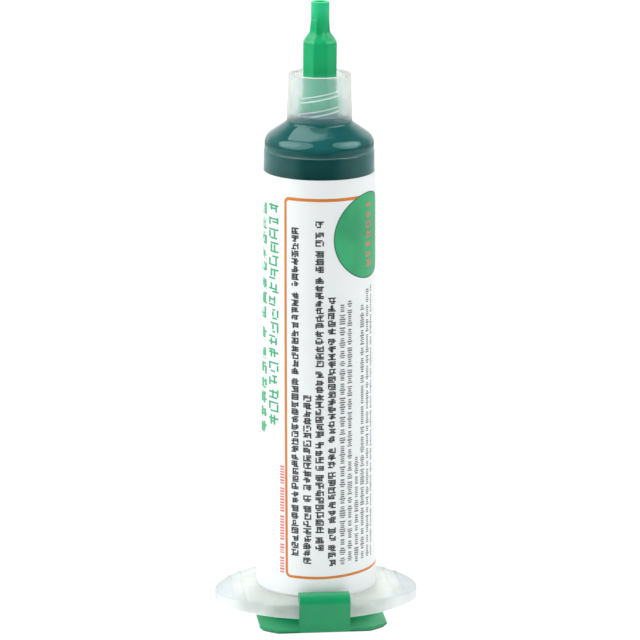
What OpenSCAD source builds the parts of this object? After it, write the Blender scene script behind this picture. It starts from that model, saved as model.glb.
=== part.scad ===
// Filled dispensing syringe, standing on its end cap with the capped tip at the top.
// The axis of the tube is Z, the ears of the finger flange lie along X, and Z is zero under the end cap.

/* [Tube] */
// Inside diameter of the tube
bore_d = 15.8; // [14:0.1:18]
// Wall of the tube just under the step line
tube_wall = 1.0; // [0.8:0.05:2]
// Extra wall at the flange end, which the draft of the mould gives
wall_draft = 0.92; // [0:0.02:1.2]
// Length of the tube from the top of the flange to the step line
tube_len = 73.1; // [60:0.5:90]
// Depth of the step line round the tube
step_depth = 0.08; // [0.02:0.01:0.2]
// Chamfer at the mouth of the bore
mouth_chamfer = 0.4; // [0.1:0.1:0.8]
// Depth of the slightly wider seat for an adapter, from the rear face
seat_depth = 8.4; // [4:0.2:9]
// How much the adapter seat is wider than the bore, in radius
seat_step = 0.05; // [0.02:0.01:0.1]

/* [Shoulder] */
// Straight wall between the step line and the rounding of the shoulder
shoulder_straight = 0.9; // [0.3:0.1:3]
// Outside rounding of the shoulder
shoulder_r = 2.0; // [1.5:0.1:3]
// Slope of the shoulder above the horizontal, in degrees
shoulder_slope = 34.5; // [25:0.5:45]
// Wall between the inside of the shoulder and the floor of the collar
floor_t = 1.1; // [0.8:0.1:2]

/* [Lock collar and nozzle] */
// Diameter of the collar where it leaves the shoulder
collar_base_d = 10.5; // [9.5:0.1:12]
// Diameter of the collar at its rim
collar_rim_d = 10.04; // [9.2:0.02:11]
// Inside diameter of the collar at the root of its thread
collar_root_d = 7.8; // [7.4:0.1:8.4]
// Height of the collar above the shoulder
collar_h = 7.8; // [6.5:0.1:10]
// Depth of the collar from its rim to its floor
collar_depth = 6.3; // [5.4:0.1:7]
// Chamfer inside the rim of the collar
rim_chamfer = 0.25; // [0.1:0.05:0.4]
// Diameter of the nozzle at its tip
nozzle_tip_d = 4.0; // [3.6:0.05:4.2]
// How far the nozzle stands out of the collar
nozzle_proud = 2.1; // [1:0.1:3]
// Diameter of the channel through the nozzle
channel_d = 2.2; // [1.2:0.1:2.6]
// Taper of the nozzle and of the socket, diameter per length
lock_taper = 0.06; // [0.05:0.01:0.07]

/* [Finger flange] */
// Length of the flange over both ears
flange_len = 33.6; // [28:0.2:40]
// Width of the flange from front to back
flange_w = 23.8; // [22:0.2:27]
// Radius of the two long sides of the flange
flange_side_r = 19.4; // [17.5:0.1:26]
// Thickness of the flange at the tube
flange_t = 2.95; // [2:0.05:4]
// Thickness of the flange at the ends of its ears
ear_t = 1.85; // [1.4:0.05:2.5]
// Rounding of the lower edge of the flange
flange_round = 0.5; // [0.2:0.1:0.8]
// Height of the grip ribs on the ears
rib_h = 0.12; // [0.05:0.01:0.3]
// Width of each grip rib
rib_w = 0.5; // [0.3:0.1:1]
// Distance between the two grip ribs of one ear
rib_pitch = 1.9; // [1.2:0.1:2.4]
// Distance from the end of an ear to its outer grip rib
rib_inset = 2.7; // [2:0.1:4]

/* [Label] */
// Thickness of the label film
label_t = 0.08; // [0.05:0.01:0.2]
// Height of the label
label_h = 69.3; // [50:0.1:75]
// Bare tube between the flange and the label
label_low = 0.3; // [0.1:0.1:3]

/* [Piston] */
// Distance from the rear face of the flange to the piston
piston_inset = 11; // [4:0.5:20]
// Length of the piston
piston_len = 15; // [8:0.5:18]
// Wall of the piston skirt
piston_wall = 1.3; // [0.8:0.1:2]
// Height of each wiper ring
wiper_h = 1.6; // [0.8:0.1:3]
// How far the wiper rings stand out of the skirt
wiper_proud = 0.45; // [0.2:0.05:0.8]
// Thickness of the piston crown
crown_t = 2.4; // [1.5:0.1:4]
// Height of the cross ribs under the crown
cross_h = 7; // [3:0.5:9]
// Thickness of the cross ribs
cross_t = 1.0; // [0.6:0.1:2]

/* [Tip cap] */
// Width of the eight-sided grip across its flats
grip_af = 5.36; // [5.2:0.02:6]
// Length of the grip from the mouth of the socket to the start of its neck
grip_len = 10.7; // [9.4:0.1:14]
// Length of the neck that blends the grip into the stem
neck_len = 3.2; // [2:0.1:5]
// Diameter of the stem
stem_d = 2.92; // [2.4:0.02:3.6]
// Length of the stem above the neck
stem_len = 3.8; // [2:0.1:8]
// Diameter of the hollow in the end of the stem
hollow_d = 1.9; // [1:0.1:2.2]
// Depth of the hollow in the end of the stem
hollow_depth = 0.5; // [0.2:0.1:2]
// Diameter over the two lock lugs
lug_d = 7.0; // [6.4:0.05:7.1]
// Width of each lock lug
lug_w = 4.6; // [3:0.1:5.2]
// Height of the lock lugs
lug_h = 2.0; // [0.6:0.1:3]
// Turn of the cap on the nozzle, in degrees
cap_turn = -5.4; // [-22:0.1:22]

/* [End cap] */
// Thickness of the end plate in its raised middle, on which the flange rests
plate_t = 1.95; // [1.2:0.05:3]
// Thickness of the end plate at its edge
edge_t = 0.95; // [0.8:0.05:1.15]
// Length of the end plate between its straight ends
plate_len = 20.9; // [18:0.1:28]
// Diameter of the round that trims the corners of the plate
plate_round_d = 30.4; // [26.8:0.1:34]
// Diameter of the raised middle
middle_d = 18.6; // [17.6:0.1:20]
// Thickness of each clip wall
clip_t = 1.1; // [0.8:0.05:1.6]
// Width of each clip
clip_w = 8.3; // [6:0.1:12]
// Height of the lips above the top of the flange
lip_h = 1.3; // [0.7:0.05:2]
// Rounding of the upper outer edge of each clip
clip_round = 1.4; // [0.6:0.1:1.6]
// Height of the lower outer edge of each clip above the underside of the plate
clip_low = 0.25; // [0.1:0.05:0.5]
// Chamfer of the lower edge of the plate
plate_chamfer = 0.6; // [0.1:0.05:0.7]

/* [Fits] */
// Radial clearance of the wiper rings in the bore
piston_fit = 0.05; // [0.02:0.01:0.1]
// Clearance of the fill and of the label film against the tube
skin_fit = 0.02; // [0.01:0.005:0.05]
// Radial clearance of the socket on the nozzle
socket_fit = 0.04; // [0.02:0.01:0.1]
// Space between the lugs and the floor of the collar
lug_gap = 0.3; // [0.2:0.05:1.5]
// Space above the end of the nozzle inside the socket
tip_gap = 0.6; // [0.2:0.1:1.5]
// Clearance between the flange and the plate under it
plate_fit = 0.05; // [0.02:0.01:0.2]
// Clearance of the clips and lips round the flange
clip_fit = 0.1; // [0.05:0.01:0.3]
// Space between the lips and the label
lip_gap = 0.45; // [0.2:0.05:1]

/* [Hidden] */
$fn = 96;
over = 1;

// Heights along the tube
rear_z = plate_t + plate_fit;
flange_z = rear_z + flange_t;
step_z = flange_z + tube_len;
round_z = step_z + shoulder_straight;

// Radii of the tube
bore_r = bore_d / 2;
seat_r = bore_r + seat_step;
seat_lead = 0.6;
tube_top_r = bore_r + tube_wall;
tube_base_r = tube_top_r + wall_draft;
upper_r = tube_top_r - step_depth;
upper_wall = upper_r - bore_r;

// The shoulder rounds about one centre, outside and inside, and then rises as a cone
round_x = upper_r - shoulder_r;
inner_round_r = max(0.2, shoulder_r - upper_wall);
normal = [cos(90 - shoulder_slope), sin(90 - shoulder_slope)];
outer_tangent = [round_x, round_z] + shoulder_r * normal;
inner_round_x = bore_r - inner_round_r;
inner_tangent = [inner_round_x, round_z] + inner_round_r * normal;
function cone_z(tangent, r) = tangent[1] + (tangent[0] - r) * tan(shoulder_slope);

// Collar and nozzle
collar_base_z = cone_z(outer_tangent, collar_base_d / 2);
rim_z = collar_base_z + collar_h;
floor_z = rim_z - collar_depth;
ceiling_z = floor_z - floor_t;
ceiling_r = inner_tangent[0] - (ceiling_z - inner_tangent[1]) / tan(shoulder_slope);
nozzle_z = rim_z + nozzle_proud;
root_r = collar_root_d / 2;
function nozzle_r(z) = nozzle_tip_d / 2 + (nozzle_z - z) * lock_taper / 2;

// Flange
flange_r = flange_len / 2;
side_shift = flange_side_r - flange_w / 2;
ear_drop = flange_t - ear_t;

// Tip cap
mouth_z = floor_z + lug_gap;
grip_top_z = mouth_z + grip_len;
stem_z = grip_top_z + neck_len;
cap_z = stem_z + stem_len;
socket_z = nozzle_z + tip_gap;
ring_points = 48;
neck_steps = 9;
neck_inset = 0.015;
neck_root = 0.2;
neck_facet = 0.96;

// Piston
piston_z = rear_z + piston_inset;
crown_z = piston_z + piston_len;
wiper_r = bore_r - piston_fit;
skirt_r = wiper_r - wiper_proud;
wiper_edge = 0.3;

// End cap
plate_w = flange_w + 2 * (clip_fit + clip_t);
lip_y = tube_base_r + label_t + lip_gap;

// Slope of the top of the flange from the tube to the ends of the ears
ear_slope = ear_drop / (flange_r - tube_base_r);
function flange_top(r) = flange_z - (r - tube_base_r) * ear_slope;

// Section of the tube, shoulder, collar and nozzle, without the bore
module barrel_outline() {
    difference() {
        union() {
            polygon([
                [0, rear_z],
                [tube_base_r, rear_z],
                [tube_base_r, flange_z],
                [tube_top_r, step_z],
                [upper_r, step_z],
                [upper_r, round_z],
                outer_tangent,
                [collar_base_d / 2, collar_base_z],
                [collar_rim_d / 2, rim_z],
                [0, rim_z]
            ]);
            translate([round_x, round_z]) circle(r = shoulder_r);
        }
        polygon([
            [0, floor_z],
            [root_r, floor_z],
            [root_r, rim_z - rim_chamfer],
            [root_r + rim_chamfer + over, rim_z + over],
            [0, rim_z + over]
        ]);
    }
    polygon([
        [0, floor_z - floor_t / 2],
        [nozzle_r(floor_z), floor_z - floor_t / 2],
        [nozzle_r(floor_z), floor_z],
        [nozzle_r(nozzle_z), nozzle_z],
        [0, nozzle_z]
    ]);
}

// Half section of the space inside the barrel, drawn smaller by gap for the fill
module bore_section(low_z, high_z, gap = 0) {
    intersection() {
        union() {
            polygon([
                [0, low_z],
                [bore_r - gap, low_z],
                [bore_r - gap, round_z],
                inner_tangent - gap * normal,
                [ceiling_r, ceiling_z - gap],
                [0, ceiling_z - gap]
            ]);
            translate([inner_round_x, round_z]) circle(r = inner_round_r - gap);
            translate([0, ceiling_z - floor_t]) square([channel_d / 2 - gap, high_z - ceiling_z + floor_t]);
        }
        translate([0, low_z]) square([bore_r, high_z - low_z]);
    }
}

// One side of the flange is part of a wide disc with a rounded lower edge
module side_disc() {
    rotate_extrude() {
        translate([0, rear_z + flange_round])
            square([flange_side_r, flange_t + over]);
        translate([0, rear_z])
            square([flange_side_r - flange_round, flange_round + over]);
        translate([flange_side_r - flange_round, rear_z + flange_round])
            circle(r = flange_round);
    }
}

// The ears end on a third disc, whose top falls away from the tube as a cone
module ear_disc(lift) {
    rotate_extrude() {
        polygon([
            [0, rear_z],
            [flange_r - flange_round, rear_z],
            [flange_r, rear_z + flange_round],
            [flange_r, flange_top(flange_r) + lift],
            [tube_base_r, flange_z + lift],
            [0, flange_z + lift]
        ]);
        translate([flange_r - flange_round, rear_z + flange_round])
            circle(r = flange_round);
    }
}

module flange_plan(lift = 0) {
    intersection() {
        ear_disc(lift);
        translate([0, side_shift, 0]) side_disc();
        translate([0, -side_shift, 0]) side_disc();
    }
}

// Straight ribs across each ear, cut from a slightly higher flange
module grip_ribs() {
    for (side = [-1, 1], i = [0, 1]) {
        x = side * (flange_r - rib_inset - i * rib_pitch);
        intersection() {
            flange_plan(rib_h);
            translate([x - rib_w / 2, -flange_w / 2, rear_z + flange_t / 4])
                cube([rib_w, flange_w, flange_t]);
        }
    }
}

// Space for the plug of an adapter, with a chamfered mouth and a short cone at its inner end
module adapter_seat() {
    translate([0, 0, rear_z])
    rotate_extrude()
        polygon([
            [0, -over],
            [seat_r + mouth_chamfer + over, -over],
            [seat_r, mouth_chamfer],
            [seat_r, seat_depth],
            [bore_r, seat_depth + seat_lead],
            [0, seat_depth + seat_lead]
        ]);
}

module barrel() {
    color([0.90, 0.94, 0.93, 0.5])
    difference() {
        union() {
            rotate_extrude() barrel_outline();
            flange_plan();
            grip_ribs();
        }
        rotate_extrude() bore_section(rear_z - over, nozzle_z + over);
        adapter_seat();
    }
}

// The film follows the draft of the tube
module label() {
    low = flange_z + label_low;
    high = low + label_h;
    function tube_r(z) = tube_base_r - (z - flange_z) * wall_draft / tube_len;
    color("white")
    rotate_extrude()
        polygon([
            [tube_r(low) + skin_fit, low],
            [tube_r(low) + skin_fit + label_t, low],
            [tube_r(high) + skin_fit + label_t, high],
            [tube_r(high) + skin_fit, high]
        ]);
}

module solder_mask() {
    color([0.05, 0.32, 0.28])
    rotate_extrude() bore_section(crown_z + skin_fit, nozzle_z - skin_fit, skin_fit);
}

// Wiper ring with a bevelled edge on both sides
module wiper(z) {
    translate([0, 0, z])
    rotate_extrude()
        polygon([
            [0, 0],
            [wiper_r - wiper_edge, 0],
            [wiper_r, wiper_edge],
            [wiper_r, wiper_h - wiper_edge],
            [wiper_r - wiper_edge, wiper_h],
            [0, wiper_h]
        ]);
}

module piston() {
    cup_r = skirt_r - piston_wall;
    cup_h = piston_len - crown_t;
    color("ghostwhite")
    union() {
        difference() {
            union() {
                translate([0, 0, piston_z]) cylinder(h = piston_len, r = skirt_r);
                wiper(piston_z);
                wiper(crown_z - wiper_h);
            }
            translate([0, 0, piston_z - over]) cylinder(h = cup_h + over, r = cup_r);
        }
        for (turn = [0, 90])
            rotate([0, 0, turn])
            translate([-cup_r - piston_wall / 2, -cross_t / 2, crown_z - crown_t - cross_h])
                cube([2 * cup_r + piston_wall, cross_t, cross_h + crown_t / 2]);
    }
}

// Distance of the neck's surface from its axis: a circle at no facet, an octagon at a full one
function facet_angle(a) = (a % 45) - 22.5;
function facet_r(flat, facet, a) = flat * (1 + facet * (1 / cos(facet_angle(a)) - 1));
function ease(t) = t * t * (3 - 2 * t);

// Rings of the neck, from the grip up to the stem: height, distance of the flats, strength of the facets
neck_rings = concat(
    [[grip_top_z - neck_root, grip_af / 2 - neck_inset, neck_facet]],
    [for (i = [0 : neck_steps])
        let (t = 1 - i / neck_steps)
        [grip_top_z + (1 - t) * neck_len,
         (stem_d + (grip_af - stem_d) * ease(t)) / 2 - neck_inset,
         neck_facet * t]],
    [[stem_z + neck_root, stem_d / 2 - 2 * neck_inset, 0]]
);

module neck() {
    count = len(neck_rings);
    points = [
        for (ring = neck_rings, i = [0 : ring_points - 1])
            let (a = i * 360 / ring_points, r = facet_r(ring[1], ring[2], a))
            [r * cos(a + 22.5), r * sin(a + 22.5), ring[0]]
    ];
    sides = [
        for (k = [0 : count - 2], i = [0 : ring_points - 1])
            let (j = (i + 1) % ring_points, low = k * ring_points, high = low + ring_points)
            each [[low + i, high + j, low + j], [low + i, high + i, high + j]]
    ];
    bottom = [for (i = [0 : ring_points - 1]) i];
    top = [for (i = [0 : ring_points - 1]) count * ring_points - 1 - i];
    polyhedron(points, concat(sides, [bottom, top]));
}

// Straight eight-sided prism with its flats square to the lugs
module grip() {
    translate([0, 0, mouth_z])
        linear_extrude(grip_len)
        rotate(22.5)
        circle(d = grip_af / cos(22.5), $fn = 8);
}

module lugs() {
    intersection() {
        translate([0, 0, mouth_z]) cylinder(h = lug_h, d = lug_d);
        translate([-lug_d / 2, -lug_w / 2, mouth_z]) cube([lug_d, lug_w, lug_h]);
    }
}

module tip_cap() {
    color([0.16, 0.66, 0.42])
    rotate([0, 0, cap_turn])
    difference() {
        union() {
            grip();
            lugs();
            neck();
            translate([0, 0, stem_z]) cylinder(h = stem_len, d = stem_d);
        }
        translate([0, 0, mouth_z])
            cylinder(
                h = socket_z - mouth_z,
                r1 = nozzle_r(mouth_z) + socket_fit,
                r2 = nozzle_r(socket_z) + socket_fit
            );
        translate([0, 0, cap_z - hollow_depth]) cylinder(h = hollow_depth + over, d = hollow_d);
    }
}

// Section of both clips and the raised bar between them, which is the same along their width
module clip_section() {
    wall_y = plate_w / 2;
    inner_y = wall_y - clip_t;
    lip_z = flange_z + lip_h;
    module one_clip() {
        difference() {
            union() {
                translate([lip_y, clip_low]) square([wall_y - lip_y, lip_z - clip_round - clip_low]);
                translate([lip_y, clip_low]) square([wall_y - lip_y - clip_round, lip_z - clip_low]);
                translate([wall_y - clip_round, lip_z - clip_round]) circle(r = clip_round);
            }
            polygon([
                [lip_y - over, plate_t],
                [inner_y, plate_t],
                [inner_y, flange_top(inner_y) + clip_fit],
                [lip_y - over, flange_top(lip_y - over) + clip_fit]
            ]);
        }
    }
    one_clip();
    mirror([1, 0]) one_clip();
    translate([-inner_y, edge_t / 2]) square([2 * inner_y, plate_t - edge_t / 2]);
}

// Half section of a plate's edge with the chamfer below, closed at the middle
module edge_section(half) {
    polygon([
        [0, 0],
        [half - plate_chamfer, 0],
        [half, plate_chamfer],
        [half, edge_t],
        [0, edge_t]
    ]);
}

module edge_bar(half, length) {
    linear_extrude(length, center = true) {
        edge_section(half);
        mirror([1, 0]) edge_section(half);
    }
}

// The plate is a rectangle whose corners a round trims, with a raised round middle
module end_plate() {
    intersection() {
        rotate_extrude() edge_section(plate_round_d / 2);
        rotate([90, 0, 0]) edge_bar(plate_len / 2, plate_round_d);
        rotate([90, 0, 90]) edge_bar(plate_w / 2, plate_round_d);
    }
    translate([0, 0, edge_t / 2]) cylinder(h = plate_t - edge_t / 2, d = middle_d);
}

module end_cap() {
    color([0.20, 0.56, 0.41])
    union() {
        end_plate();
        rotate([90, 0, 90])
            translate([0, 0, -clip_w / 2])
            linear_extrude(clip_w) clip_section();
    }
}

barrel();
label();
solder_mask();
piston();
tip_cap();
end_cap();
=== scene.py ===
"""Looks of a filled dispensing syringe that stands on its end cap.

Lengths inside the shape code are in millimetres, and MM turns them into metres. Heights are counted from
the surface that the syringe stands on, and in the print from the foot of the tube. The front is the side
of the tube that faces the camera.
"""

import math
import random

import bpy
import numpy as np
from mathutils import Matrix, Vector

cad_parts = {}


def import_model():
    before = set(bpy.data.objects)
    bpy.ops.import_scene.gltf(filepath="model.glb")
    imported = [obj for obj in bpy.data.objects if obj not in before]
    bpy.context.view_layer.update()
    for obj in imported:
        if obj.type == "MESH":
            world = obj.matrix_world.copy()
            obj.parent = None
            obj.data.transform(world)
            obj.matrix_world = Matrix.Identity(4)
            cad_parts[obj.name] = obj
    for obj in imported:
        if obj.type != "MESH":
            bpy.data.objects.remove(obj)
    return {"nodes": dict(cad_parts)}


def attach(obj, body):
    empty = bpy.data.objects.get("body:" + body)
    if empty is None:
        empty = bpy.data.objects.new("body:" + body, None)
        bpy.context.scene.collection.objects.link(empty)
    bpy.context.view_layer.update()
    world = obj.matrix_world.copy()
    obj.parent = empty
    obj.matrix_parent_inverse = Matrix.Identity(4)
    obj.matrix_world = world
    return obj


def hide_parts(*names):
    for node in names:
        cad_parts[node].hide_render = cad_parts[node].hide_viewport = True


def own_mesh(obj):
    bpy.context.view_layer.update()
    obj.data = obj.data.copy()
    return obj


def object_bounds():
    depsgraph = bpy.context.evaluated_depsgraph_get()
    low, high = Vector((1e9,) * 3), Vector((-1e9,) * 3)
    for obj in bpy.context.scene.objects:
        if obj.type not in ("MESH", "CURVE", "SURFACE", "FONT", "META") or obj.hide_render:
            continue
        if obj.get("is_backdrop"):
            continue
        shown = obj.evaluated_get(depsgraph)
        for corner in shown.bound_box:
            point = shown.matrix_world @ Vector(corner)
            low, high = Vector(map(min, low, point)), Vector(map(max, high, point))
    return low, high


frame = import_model()
cad_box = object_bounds()

MM = 0.001
SEGMENTS = 256
THETA = np.arange(SEGMENTS) * 2 * np.pi / SEGMENTS
# The camera stands this far round from the -Y side.
YAW = math.radians(6.7)
FRONT = -math.pi / 2 - YAW


# Mesh helpers
def link_mesh(name, verts, faces, materials=(), index=None, soft=True, sharp=30):
    """An object from points in millimetres. Edges that turn by more than sharp degrees stay sharp."""
    mesh = bpy.data.meshes.new(name)
    mesh.from_pydata([tuple(v) for v in np.asarray(verts, float) * MM], [], faces)
    for m in materials:
        mesh.materials.append(m)
    if index is not None:
        mesh.polygons.foreach_set("material_index", np.asarray(index, np.int32))
    if soft:
        mesh.polygons.foreach_set("use_smooth", [True] * len(mesh.polygons))
        mesh.set_sharp_from_angle(angle=math.radians(sharp))
    mesh.update()
    obj = bpy.data.objects.new(name, mesh)
    bpy.context.scene.collection.objects.link(obj)
    return obj


def ring_faces(ring_count, closed, first_middle=None, last_middle=None):
    """Faces between rings of points, and fans round a middle point at the ends where one is given."""
    faces = []
    around = [(i, (i + 1) % SEGMENTS) for i in range(SEGMENTS)]
    for k in range(ring_count if closed else ring_count - 1):
        a, b = k * SEGMENTS, ((k + 1) % ring_count) * SEGMENTS
        faces += [(a + i, a + j, b + j, b + i) for i, j in around]
    if first_middle is not None:
        faces += [(first_middle, j, i) for i, j in around]
    if last_middle is not None:
        base = (ring_count - 1) * SEGMENTS
        faces += [(last_middle, base + i, base + j) for i, j in around]
    return faces


def turned(name, rings, closed=False, capped=False, materials=(), bands=None, sharp=30):
    """A surface through rings. Each ring is (radius, height), numbers or one value per angle. Bands gives
    the material's number for the stretch from each ring to the next."""
    verts = []
    for r, z in rings:
        r = np.broadcast_to(np.asarray(r, float), THETA.shape)
        z = np.broadcast_to(np.asarray(z, float), THETA.shape)
        verts.append(np.c_[r * np.cos(THETA), r * np.sin(THETA), z])
    verts = np.concatenate(verts)
    middles = ()
    if capped:
        middles = (len(verts), len(verts) + 1)
        ends = [(0.0, 0.0, float(np.mean(rings[k][1]))) for k in (0, -1)]
        verts = np.concatenate([verts, np.array(ends)])
    faces = ring_faces(len(rings), closed, *middles)
    index = None if bands is None else np.repeat(bands, SEGMENTS)
    return link_mesh(name, verts, faces, materials, index, sharp=sharp)


def arc(cx, cz, r, start, end, steps):
    """Points of an arc, angles in degrees, both ends included."""
    a = np.radians(np.linspace(start, end, steps + 1))
    return [(cx + r * math.cos(x), cz + r * math.sin(x)) for x in a]


def line(a, b, steps):
    """Points from a to b, a left out."""
    return [
        (a[0] + (b[0] - a[0]) * t, a[1] + (b[1] - a[1]) * t)
        for t in np.linspace(0, 1, steps + 1)[1:]
    ]


def smooth(t):
    """A step that rises softly from 0 to 1 while t does."""
    t = np.clip(t, 0, 1)
    return t * t * (3 - 2 * t)


# Material helpers
PLASTIC_IOR = 1.49
WIDE_GRAIN, FINE_GRAIN, INK_GRAIN = 160, 900, 1500
CLEAR_GRAIN, PASTE_GRAIN, TABLE_GRAIN = 260, 220, 60
# White of the painted highlight on the thread's flanks
FLANK_HIGHLIGHT = (0.98, 1.0, 0.99)
# Radii where the painted shade on the flange's ears sets in and where it is full
EARS_FROM, EARS_FULL = 11.0, 15.5


def node_material(name):
    """An empty material with its output node."""
    mat = bpy.data.materials.new(name)
    mat.use_nodes = True
    nodes, links = mat.node_tree.nodes, mat.node_tree.links
    nodes.clear()
    out = nodes.new("ShaderNodeOutputMaterial")
    return mat, nodes, links, out


def feed(links, value, socket):
    """Gives a socket a number, a colour or what another node puts out."""
    if isinstance(value, (int, float)):
        socket.default_value = value
    elif isinstance(value, tuple):
        socket.default_value = (*value, 1)
    else:
        links.new(value, socket)


def math_node(nodes, links, operation, *values):
    node = nodes.new("ShaderNodeMath")
    node.operation = operation
    for value, socket in zip(values, node.inputs):
        feed(links, value, socket)
    return node.outputs["Value"]


def vector_node(nodes, links, operation, first, second=None):
    node = nodes.new("ShaderNodeVectorMath")
    node.operation = operation
    links.new(first, node.inputs[0])
    if second is not None:
        node.inputs[1].default_value = second
    return node


def object_place(nodes):
    """The place in the object's own axes, in metres."""
    return nodes.new("ShaderNodeTexCoord").outputs["Object"]


def object_noise(nodes, links, scale, detail=3.0, stretch=(1, 1, 1)):
    mapping = nodes.new("ShaderNodeMapping")
    mapping.inputs["Scale"].default_value = stretch
    links.new(object_place(nodes), mapping.inputs["Vector"])
    noise = nodes.new("ShaderNodeTexNoise")
    noise.inputs["Scale"].default_value = scale
    noise.inputs["Detail"].default_value = detail
    links.new(mapping.outputs["Vector"], noise.inputs["Vector"])
    return noise.outputs["Fac"]


def ranged(nodes, links, source, before, after=(0.0, 1.0), kind="LINEAR"):
    """Takes the range before to the range after, each one a pair, and stays inside it."""
    node = nodes.new("ShaderNodeMapRange")
    node.interpolation_type = kind
    for name, value in zip(("From Min", "From Max", "To Min", "To Max"), (*before, *after)):
        node.inputs[name].default_value = value
    links.new(source, node.inputs["Value"])
    return node.outputs["Result"]


def by_height(nodes, links, low, high):
    """0 below the height low, 1 above the height high."""
    split = nodes.new("ShaderNodeSeparateXYZ")
    links.new(object_place(nodes), split.inputs["Vector"])
    return ranged(nodes, links, split.outputs["Z"], (low * MM, high * MM), kind="SMOOTHSTEP")


def by_radius(nodes, links, near, far):
    """0 nearer to the axis of the tube than near, 1 beyond far."""
    flat = vector_node(nodes, links, "MULTIPLY", object_place(nodes), (1, 1, 0))
    size = vector_node(nodes, links, "LENGTH", flat.outputs["Vector"])
    return ranged(nodes, links, size.outputs["Value"], (near * MM, far * MM), kind="SMOOTHSTEP")


def grey(value):
    return (value, value, value)


def ramped(nodes, links, source, *stops):
    """A colour that follows the source. Each stop is a position and a colour."""
    node = nodes.new("ShaderNodeValToRGB")
    elements = node.color_ramp.elements
    for element, (position, color) in zip(elements, (stops[0], stops[-1])):
        element.position = position
        element.color = (*color, 1)
    for position, color in stops[1:-1]:
        elements.new(position).color = (*color, 1)
    links.new(source, node.inputs["Fac"])
    return node.outputs["Color"]


def blended(nodes, links, share, first, second, kind="MIX"):
    """A colour between two colours. Each one is a tuple or a socket."""
    mix = nodes.new("ShaderNodeMix")
    mix.data_type = "RGBA"
    mix.blend_type = kind
    for value, socket in ((share, "Factor"), (first, "A"), (second, "B")):
        feed(links, value, mix.inputs[socket])
    return mix.outputs["Result"]


def mixed_shader(nodes, links, share, first, second):
    """A surface between two surfaces."""
    mix = nodes.new("ShaderNodeMixShader")
    for value, socket in zip((share, first, second), mix.inputs):
        feed(links, value, socket)
    return mix.outputs["Shader"]


def uneven_gloss(nodes, links, bsdf, noise, roughness, strength, height_mm):
    """Roughness between two values, and a slight relief. Both follow the noise."""
    links.new(ranged(nodes, links, noise, (0.0, 1.0), roughness), bsdf.inputs["Roughness"])
    relief = nodes.new("ShaderNodeBump")
    relief.inputs["Strength"].default_value = strength
    relief.inputs["Distance"].default_value = height_mm * MM
    links.new(noise, relief.inputs["Height"])
    links.new(relief.outputs["Normal"], bsdf.inputs["Normal"])


def plastic(
    name,
    color,
    roughness,
    scatter=0.0,
    spread=0.04,
    grain=FINE_GRAIN,
    bump_mm=0.004,
    specular=0.5,
    depth_mm=0.6,
    thin=None,
):
    """Opaque moulded plastic. Its colour varies by the share spread, and scatter is the share of light that
    goes depth_mm deep. Thin is (colour, low, high) for the thin upper part, whose lighter colour is painted
    light: it stands in for the light that shines through its thin wall."""
    mat, nodes, links, out = node_material(name)
    bsdf = nodes.new("ShaderNodeBsdfPrincipled")
    wide = object_noise(nodes, links, WIDE_GRAIN, detail=2)
    fine = object_noise(nodes, links, grain, detail=4)
    dark = tuple(c * (1 - spread) for c in color)
    light = tuple(min(1, c * (1 + spread)) for c in color)
    body = ramped(nodes, links, wide, (0.35, dark), (0.65, light))
    # Painted light: the thin upper part gets a lighter colour, for the light that shines through its thin
    # wall.
    if thin:
        shine_through_color, low, high = thin
        body = blended(nodes, links, by_height(nodes, links, low, high), body, shine_through_color)
    links.new(body, bsdf.inputs["Base Color"])
    uneven_gloss(nodes, links, bsdf, fine, (roughness * 0.85, roughness * 1.2), 0.25, bump_mm)
    bsdf.inputs["IOR"].default_value = PLASTIC_IOR
    bsdf.inputs["Specular IOR Level"].default_value = specular
    if scatter:
        bsdf.inputs["Subsurface Weight"].default_value = scatter
        bsdf.inputs["Subsurface Radius"].default_value = (0.6, 1.0, 0.7)
        bsdf.inputs["Subsurface Scale"].default_value = depth_mm * MM
    links.new(bsdf.outputs["BSDF"], out.inputs["Surface"])
    return mat


def let_light_through(nodes, links, surface, out, tint):
    """Lamps reach what lies behind the surface."""
    path = nodes.new("ShaderNodeLightPath")
    clear = nodes.new("ShaderNodeBsdfTransparent")
    clear.inputs["Color"].default_value = (*tint, 1)
    lit = mixed_shader(nodes, links, path.outputs["Is Shadow Ray"], surface, clear.outputs["BSDF"])
    links.new(lit, out.inputs["Surface"])


def thread_mark(nodes):
    """How steep the thread is, as mark_flanks stores it."""
    mark = nodes.new("ShaderNodeAttribute")
    mark.attribute_name = "flank"
    return mark.outputs["Fac"]


def milk_color(nodes, links, turning, veil_color, edge_color, flank, cloud, ears):
    """Colour of the milk in clear plastic, with a painted highlight on the thread's flanks and a painted
    shade on the ears.
    """
    milk = blended(nodes, links, turning, veil_color, edge_color)
    if flank:
        milk = blended(nodes, links, thread_mark(nodes), milk, FLANK_HIGHLIGHT)
    # Painted shade: away from the tube the milk turns to the darker ear colour.
    if ears:
        milk = blended(nodes, links, by_radius(nodes, links, EARS_FROM, EARS_FULL), milk, ears)
    drift = object_noise(nodes, links, CLEAR_GRAIN, stretch=(1, 1, 0.35))
    patchy = ramped(nodes, links, drift, (0.38, grey(1 - cloud)), (0.6, grey(1)))
    return blended(nodes, links, 1.0, milk, patchy, "MULTIPLY")


def milk_share(nodes, links, steep, veil, edge, rise, flank):
    """Share of the light that the milk in clear plastic scatters. The thread's flanks get more of it, a
    painted highlight.
    """
    share = math_node(nodes, links, "MULTIPLY_ADD", steep, edge, veil)
    if rise:
        share = math_node(nodes, links, "MULTIPLY", share, by_height(nodes, links, *rise))
    # Painted highlight: the steep sides of the thread get white milk.
    if flank:
        white = math_node(nodes, links, "MULTIPLY", thread_mark(nodes), flank)
        share = math_node(nodes, links, "MAXIMUM", share, white)
    return share


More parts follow.
